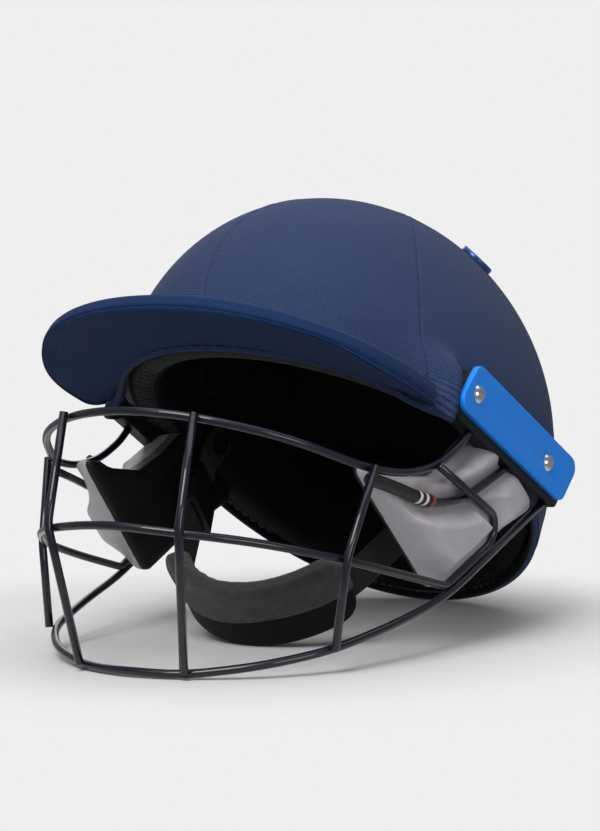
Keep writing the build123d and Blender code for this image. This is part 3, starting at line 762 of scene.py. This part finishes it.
edge_samples = 25
pressing = []
for name in (*long_bars, "side_bar_left", "bar_sleeve"):
    mesh = nodes[name].data
    spots = np.empty(len(mesh.vertices) * 3)
    mesh.vertices.foreach_get("co", spots)
    spots = upright(spots.reshape(-1, 3))
    edges = np.empty(len(mesh.edges) * 2, int)
    mesh.edges.foreach_get("vertices", edges)
    starts_at, ends_at = spots[edges.reshape(-1, 2)].transpose(1, 0, 2)
    for share in np.linspace(0, 1, edge_samples):
        pressing.append(starts_at + (ends_at - starts_at) * share)
pressing = (np.concatenate(pressing) - cheek_origin) @ cheek_axes.T
near_along, near_up, cell_size = 95, 70, (1.2, 1.2, 0.8)
near = (np.abs(pressing[:, :2]) < (near_along, near_up)).all(1) & (pressing[:, 2] > 0)
pressing = pressing[near]
cells = np.round(pressing / cell_size).astype(int)
pressing = pressing[np.unique(cells, axis=0, return_index=True)[1]]
bar_gap, puff_curve, puff_rise, press_blend = 0.4, 4.5, 7.0, 3
cheek_roll, cheek_edge_share, block_size = 9.0, 0.20, 500
wrinkle_height, wrinkle_reach, wrinkle_roll = 0.18, 3, 8


def cheek_face(flat, margin):
    """Height of a cheek pad's outer face: crowned, rolled at its edge and pressed in by the bars."""
    x, y = flat.T
    crowned = 1 - (x / (0.62 * cheek_length)) ** 2 - (y / (0.74 * cheek_height)) ** 2
    height = cheek_thickness * np.sqrt(np.clip(crowned, 0.18, 1)) + puff_rise
    press = np.empty(len(flat))
    for start in range(0, len(flat), block_size):
        block = flat[start : start + block_size]
        away = ((block[:, None] - pressing[None, :, :2]) ** 2).sum(-1)
        nearest = (pressing[None, :, 2] + away / (2 * puff_curve)).min(1)
        press[start : start + block_size] = nearest - bar_gap
    gap = height - press
    blended = np.where(gap < -press_blend, 0, (gap + press_blend) ** 2 / (4 * press_blend))
    height = height - np.where(gap > press_blend, gap, blended)
    wrinkle = wrinkle_height * np.sin(x * 0.9 + 1.3 * np.sin(y * 0.21))
    wrinkle = wrinkle * np.exp(-np.clip(-gap, 0, 3 * wrinkle_reach) / wrinkle_reach)
    height = height * (cheek_edge_share + (1 - cheek_edge_share) * rolled(margin, cheek_roll))
    return height + wrinkle * np.clip(margin / wrinkle_roll, 0, 1)


def cheek_back(flat, margin):
    """The pad's flat back, which the lining's outer face shares."""
    return np.full(len(flat), 0.35)


silver = Finish("silver_knit")
silver_places = silver.places()
silver_patches = silver.noise(silver_places, 30.0, 3.0)
silver_share = silver_patches * 0.7 + silver.noise(silver_places, 1500.0) * 0.3
silver_shade = silver.mix(silver_share, lit(150, 146, 152), lit(204, 200, 206))
silver_edge = silver.make("ShaderNodeAttribute", {"attribute_name": "edge"}, {}, "Fac")
silver_edge = silver_edge.between(0.4, 0.6)
silver.set(
    Base_Color=silver.mix(silver_edge, silver_shade, lit(14, 14, 16)),
    Roughness=0.45,
    Metallic=0.25 * (1.0 - silver_edge),
    Sheen_Weight=0.3,
)
silver_lumps = silver.noise(silver_places, 160.0, 3.0)
silver.bump(silver.noise(silver_places, 1100.0) + silver_lumps * 2.0, 0.00022)

lining_finish = Finish("black_lining")
lining_where = lining_finish.places()
lining_grain = lining_finish.noise(lining_where, 700.0, 3.0)
lining_patches = lining_finish.noise(lining_where, 30.0)
lining_finish.set(
    Base_Color=lining_finish.mix(lining_patches, lit(11, 11, 13), lit(22, 22, 25)),
    Roughness=0.5 + (lining_grain * 0.12),
    Specular_IOR_Level=0.3,
)
lining_finish.bump(lining_grain + lining_finish.noise(lining_where, 60.0, 2.0) * 2.0, 0.00025)

pad_points, pad_faces = cushion(cheek_line, cheek_middle, 64, cheek_face, cheek_back, 12)
pad_places = cheek_origin + pad_points @ cheek_axes
pad_margin = to_outline(pad_points[:, :2], cheek_line)
piping_low, piping_ahead, piping_high, piping_wide = 1.0, 30, 6.5, 1.2
on_top = (pad_points[:, 1] > 0) & (pad_points[:, 0] < piping_ahead) & (pad_points[:, 2] < piping_high)
on_piping = (pad_points[:, 2] < piping_low) | (on_top & (pad_margin < piping_wide))
pad_edge = on_piping.astype(np.float32)
lining_line = cheek_middle + (cheek_line - cheek_middle) * 0.99
lining_edge, lining_wall, lining_puff, lining_roll = 0.6, 2.0, 0.3, 5.0
soft_passes = 5


def lining_inner(flat, margin):
    """Height of the lining's face towards the cheek: softly crowned, with a rolled edge."""
    puff = np.clip(1 - (flat[:, 0] / 90) ** 2 - (flat[:, 1] / 62) ** 2, 0, 1)
    return -(lining_edge + lining_wall * rolled(margin, lining_roll) + lining_puff * puff)


lining_points, lining_faces = cushion(lining_line, cheek_middle, 44, cheek_back, lining_inner, 4)
lining_places = cheek_origin + lining_points @ cheek_axes
for side, twin in ((1, "left"), (-1, "right")):
    pad_at, lining_at = pad_places * (side, 1, 1), lining_places * (side, 1, 1)
    pad = new_piece(f"cheek_cloth_{twin}", pad_at, pad_faces, silver.material)
    outward(pad, soft_passes)
    pad.data.attributes.new("edge", "FLOAT", "POINT").data.foreach_set("value", pad_edge)
    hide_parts(f"cheek_pad_{twin}")
    lining = new_piece(f"cheek_inner_{twin}", lining_at, lining_faces, lining_finish.material)
    outward(lining)
    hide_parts(f"cheek_lining_{twin}")


# Headband: open spacer mesh wrapped round a foam band inside the front of the rim. It shows rows of
# small holes, and is gathered in upright pleats on the wearer's right.
band_wall, band_top, band_gap, band_lift, band_power = 14.0, 14.0, 0.5, 1.0, 0.55
band_end, end_from, end_run, cloth_gap = 1.466, 1.41, 0.056, 0.4
pleats_at, pleats_half, pleat_pitch, pleat_bulge = -0.95, 0.42, 6.5, 0.09
band_angles = np.linspace(-band_end, band_end, 420)
band_turn = np.linspace(0, 2 * pi, 57)[:-1]
section = np.stack([np.cos(band_turn), np.sin(band_turn)], 1)
section = np.sign(section) * np.abs(section) ** band_power
band_half = (band_wall - band_gap) / 2
across_middle = skin + band_gap + band_half
pleats = np.exp(-(((band_angles - pleats_at) / pleats_half) ** 6))
pleat_wave = np.sin((band_angles * mean_radius) * 2 * pi / pleat_pitch + 0.8 * np.sin(band_angles * 31))
band_rows = []
for angle, pleat, wave in zip(band_angles, pleats, pleat_wave):
    end_round = sqrt(max(0.02, 1 - max(0, (abs(angle) - end_from) / end_run) ** 2))
    low = float(edge_level(-half_length * cos(angle))) + band_lift
    middle_z, half_z = (low + band_top) / 2, (band_top - low) / 2
    heights = middle_z + section[:, 1] * half_z * end_round
    bulge = 1 + pleat_bulge * pleat * wave
    insets = across_middle + section[:, 0] * band_half * end_round * bulge + cloth_gap
    level = np.sqrt(np.clip(1 - (heights / np.where(heights >= 0, crown_height, nape_depth)) ** 2, 0, 1))
    x = (half_width * level - insets) * sin(angle)
    y = -(half_length * level - insets) * cos(angle)
    band_rows.append(np.stack([x, y, heights - 0.5 * pleat * (wave + 1)], 1))
mesh_finish = Finish("spacer_mesh")
mesh_across, mesh_along, _ = mesh_finish.parts(mesh_finish.places("UV"))
column_wave = (mesh_across / 2.4).wave()
row_wave = (mesh_along / 2.2 + (mesh_across / 4.8).maths("FLOOR") * 0.5).wave()
holes = (column_wave * row_wave).between(0.25, 0.45)
mesh_finish.set(Base_Color=mesh_finish.mix(holes, lit(34, 36, 39), lit(1, 1, 2)), Roughness=0.8)
mesh_finish.set(Sheen_Weight=0.08, Specular_IOR_Level=0.2)
mesh_finish.bump(1.0 - holes, 0.0006)


def capped_faces(rows, count):
    """Faces of a stack of rings with a flat end on the first and the last."""
    ends = [[row * count + i for i in range(count)] for row in (0, rows - 1)]
    return grid_faces(rows, count, True) + ends


band_faces = capped_faces(len(band_rows), len(band_turn))
band = new_piece("headband_mesh", np.concatenate(band_rows), band_faces, mesh_finish.material)
outward(band)
lay_uv(band, grid_uv(band_turn * 7.5, band_angles * mean_radius)[:, ::-1])
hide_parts("headband")

# Liner: smooth dark foam, moulded to the dome and glued in, with a thick rounded lower edge. In
# front it lies behind the headband. The comfort pads inside it are of the same foam.
liner_wall, liner_lift, liner_corner, liner_bulge = 17.0, 1.5, 5.0, 1.6
liner_inner, liner_outer, liner_from = skin + liner_wall, skin + cloth_gap, 0.12
liner_angles = np.linspace(-pi, pi, 181)[:-1]
foam = Finish("smooth_foam")
foam_places = foam.places()
foam_shade = foam.mix(foam.noise(foam_places, 40.0), lit(7, 8, 10), lit(13, 14, 18))
foam.set(Base_Color=foam_shade, Roughness=0.7, Specular_IOR_Level=0.15)
foam.bump(foam.noise(foam_places, 900.0, 2.0), 0.0001)


def liner_ring(inset, reach, level):
    """One ring of the liner, at an inset from the cloth and a share of the dome's widest ring."""
    x = (half_width - inset) * reach * np.sin(liner_angles)
    y = -(half_length - inset) * reach * np.cos(liner_angles)
    return np.stack([x, y, level + 0 * x], 1)


def domed_ring(inset, latitude):
    """A ring of the liner's inner or outer dome."""
    return liner_ring(inset, cos(latitude), (crown_height - inset) * sin(latitude))


def edge_ring(inset, height):
    """A ring near the liner's lower edge, at a height over the lowest."""
    level = edge_level(-(half_length - inset) * np.cos(liner_angles)) + liner_lift + height
    deep = np.where(level >= 0, crown_height, nape_depth) - inset
    return liner_ring(inset, np.sqrt(np.clip(1 - (level / deep) ** 2, 0.0001, 1)), level)


liner_rings = [domed_ring(liner_inner, latitude) for latitude in np.linspace(pi / 2, liner_from, 40)[1:]]
for step in np.linspace(0, pi, 13):
    inset = liner_inner - liner_bulge * sin(step) ** 2 - (liner_inner - liner_outer) / 2 * (1 - cos(step))
    liner_rings.append(edge_ring(inset, liner_corner * (1 - sin(step))))
liner_rings += [domed_ring(liner_outer, latitude) for latitude in np.linspace(liner_from, pi / 2, 24)[:-1]]
liner_poles = [[0, 0, crown_height - liner_inner], [0, 0, crown_height - liner_outer]]
liner_points = np.concatenate([*liner_rings, liner_poles])
liner_faces = closed_faces(len(liner_rings), len(liner_angles))
liner = new_piece("liner_foam", liner_points, liner_faces, foam.material)
outward(liner)
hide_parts("liner")
for name in ("crown_pad", "brow_pad", "nape_pad", "side_pad_left", "side_pad_right"):
    dress(name, foam.material)

# Chin strap: ribbed webbing from rivet to rivet through the chin cup, and the buckle on the
# wearer's right. Everything is drawn hanging straight down, then swung forward on the rivets.
strap_behind, strap_low, swing = 8.0, 4.0, radians(53.2595)
cup_radius, cup_reach, cup_half_angle = 62.0, 136.0, radians(60.0)
cup_depth, cup_wall, cup_base_wall = 38.0, 12.0, 3.2
web_out, web_wall, web_half, web_drop, web_tail, web_bend = 84.0, 1.8, 10.0, 12.0, 8.0, 14.0
buckle_drop, socket_length, yoke_length, slot_depth = 20.0, 20.0, 13.0, 4.0
cup_middle = cup_radius - cup_reach


def on_strap(points):
    """Points drawn on the hanging strap, in its place on the upright helmet."""
    points = np.asarray(points, float)
    turn = tip - swing
    y = points[:, 1] * cos(turn) - points[:, 2] * sin(turn)
    z = points[:, 1] * sin(turn) + points[:, 2] * cos(turn)
    return np.stack([points[:, 0], y + strap_behind, z - strap_low], 1)


web_line = cup_radius - cup_base_wall - web_wall / 2
away = np.array([web_out, -web_drop - cup_middle])
leave = atan2(away[1], away[0]) - np.arccos(web_line / np.linalg.norm(away))
leave_at = np.array([cos(leave) * web_line, cup_middle + sin(leave) * web_line])
top_corner, mirrored = np.array([web_out, -web_drop]), (-1, 1)
toward = (leave_at - top_corner) / np.linalg.norm(leave_at - top_corner)
bend_reach = web_bend * tan(np.arccos(np.clip(-toward[1], -1, 1)) / 2)
bend = round_corner(top_corner + (0, bend_reach), top_corner, top_corner + toward * bend_reach, 13)
left_side = np.vstack([[web_out, web_tail], bend, leave_at])
arc_angles = np.linspace(leave, -pi - leave, 60)[1:-1]
round_cup = np.stack([np.cos(arc_angles) * web_line, cup_middle + np.sin(arc_angles) * web_line], 1)
right_leave, right_toward, right_top = leave_at * mirrored, toward * mirrored, top_corner * mirrored
chin_end = right_top + right_toward * (buckle_drop + socket_length + yoke_length - slot_depth)
anchor_end = right_top + right_toward * (buckle_drop + slot_depth)
chin_route = np.vstack([left_side, round_cup, right_leave, chin_end])
anchor_route = np.vstack([left_side[:-1] * mirrored, anchor_end])

tape_finish = Finish("woven_tape")
tape_across, tape_along, _ = tape_finish.parts(tape_finish.places("UV"))
tape_ribs = (tape_along / 1.5).wave()
tape_rows = (tape_across / 1.25 + tape_ribs * 0.2).wave()
tape_weave = tape_ribs * 0.6 + tape_rows * 0.4
tape_finish.set(Base_Color=tape_finish.mix(tape_weave, lit(6, 6, 7), lit(20, 20, 22)), Roughness=0.7)
tape_finish.set(Sheen_Weight=0.08, Specular_IOR_Level=0.25)
tape_finish.bump(tape_weave, 0.0003)
tape_step, tape_turns = 1.2, np.linspace(0, 2 * pi, 33)[:-1]
tape_wide, tape_deep = np.cos(tape_turns), np.sin(tape_turns)
tape_wide = np.sign(tape_wide) * np.abs(tape_wide) ** 0.25 * (web_half - 0.1)
tape_deep = np.sign(tape_deep) * np.abs(tape_deep) ** 0.7 * (web_wall / 2 - 0.05)
tape_around = np.where(tape_deep >= 0, tape_wide, 2 * web_half - tape_wide)


def tape(name, route, node):
    """Flat woven tape along a route, with rounded edges."""
    length = way_along(route)[-1]
    ways = np.linspace(0, length, int(length / tape_step))
    line = evenly(route, ways)
    run = np.gradient(line, axis=0)
    run /= np.linalg.norm(run, axis=1, keepdims=True)
    x = line[:, :1] - run[:, 1:] * tape_deep
    z = line[:, 1:] + run[:, :1] * tape_deep
    rows = np.stack([x, np.repeat(tape_wide[None], len(line), 0), z], -1)
    faces = capped_faces(*rows.shape[:2])
    piece = new_piece(name, on_strap(rows.reshape(-1, 3)), faces, tape_finish.material, "chin_strap")
    outward(piece)
    lay_uv(piece, grid_uv(tape_around, ways))
    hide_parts(node)


tape("chin_tape", chin_route, "chin_webbing")
tape("anchor_tape", anchor_route, "anchor_webbing")

# Chin cup: a curved foam pad on a smooth moulded base. Its charcoal fleece has a stitched line along
# the face and is drawn over the front half of the base.
cup_line_radius, cup_base_radius = cup_radius - cup_wall / 2, cup_radius - cup_base_wall
cup_end, cup_side, cup_corner = cup_half_angle * cup_line_radius, cup_depth / 2, 13.0
cup_corners = [(-cup_end, -cup_side), (cup_end, -cup_side), (cup_end, cup_side), (-cup_end, cup_side)]
cup_line, cup_centre = rounded_outline(cup_corners, cup_corner), np.zeros(2)
fleece_wall, fleece_roll, under_roll, base_roll = cup_wall - cup_base_wall, 6.5, 5.0, 4.0
base_play = 0.4


def wrapped(points):
    """Bends a flat cushion round the curve of the cup; its height runs towards the chin."""
    turn_at = points[:, 0] / cup_line_radius
    reach = cup_base_radius - points[:, 2]
    return np.stack([np.sin(turn_at) * reach, points[:, 1], cup_middle - np.cos(turn_at) * reach], 1)


def fleece_top(flat, margin):
    """The fleece's face towards the chin, a little lumpy, with its stitched line."""
    x, y = flat.T
    lumps = 0.35 * np.sin(x * 0.23 + 1.0) * np.sin(y * 0.31) + 0.25 * np.sin(x * 0.71 + y * 0.4)
    stitch = 0.9 * np.exp(-(((y + 9.5 + 1.5 * np.sin(x * 0.05)) / 0.9) ** 2))
    height = fleece_wall * (0.30 + 0.70 * rolled(margin, fleece_roll))
    return height + (lumps - stitch) * np.clip(margin / 5, 0, 1)


def fleece_back(flat, margin):
    """The fleece is drawn over the front half of the base and ends there in a seam."""
    x, y = flat.T
    way = np.clip((y + 0.8 * np.sin(x * 0.09) - 3.0) / -3.0, 0, 1)
    lumps = 0.3 * np.sin(x * 0.29 + 2.0) * np.sin(y * 0.37)
    depth = (cup_base_wall + 1.6) * (0.35 + 0.65 * rolled(margin, under_roll)) + lumps
    return 0.35 - way * (3 - 2 * way) * way * depth


def base_upper(flat, margin):
    """The base's face under the fleece."""
    return np.full(len(flat), 0.2)


def base_lower(flat, margin):
    """The base's smooth outer face, with a rolled edge."""
    return -base_play - (cup_base_wall - base_play) * rolled(margin, base_roll)


fleece_points, fleece_faces = cushion(cup_line, cup_centre, 40, fleece_top, fleece_back, 10)
fleece_finish = Finish("fleece")
fleece_places = fleece_finish.places()
tufts = fleece_finish.noise(fleece_places, 1500.0, 4.0, 0.7)
clumps = fleece_finish.noise(fleece_places, 260.0, 3.0)
fleece_share = (tufts * 0.6 + clumps * 0.5).between(0.35, 0.8)
fleece_shade = fleece_finish.mix(fleece_share, lit(8, 8, 9), lit(41, 40, 44))
fleece_finish.set(Base_Color=fleece_shade, Roughness=0.95, Sheen_Weight=0.25)
fleece_finish.bump(tufts + clumps, 0.0009)
fleece_at = on_strap(wrapped(fleece_points))
fleece = new_piece("cup_fleece", fleece_at, fleece_faces, fleece_finish.material, "chin_strap")
outward(fleece)
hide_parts("chin_cup")

base_points, base_faces = cushion(cup_line * 0.985, cup_centre, 30, base_upper, base_lower, 4)
base_at = on_strap(wrapped(base_points))
cup_base = new_piece("cup_smooth_base", base_at, base_faces, base_finish, "chin_strap")
outward(cup_base)
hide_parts("chin_cup_base")
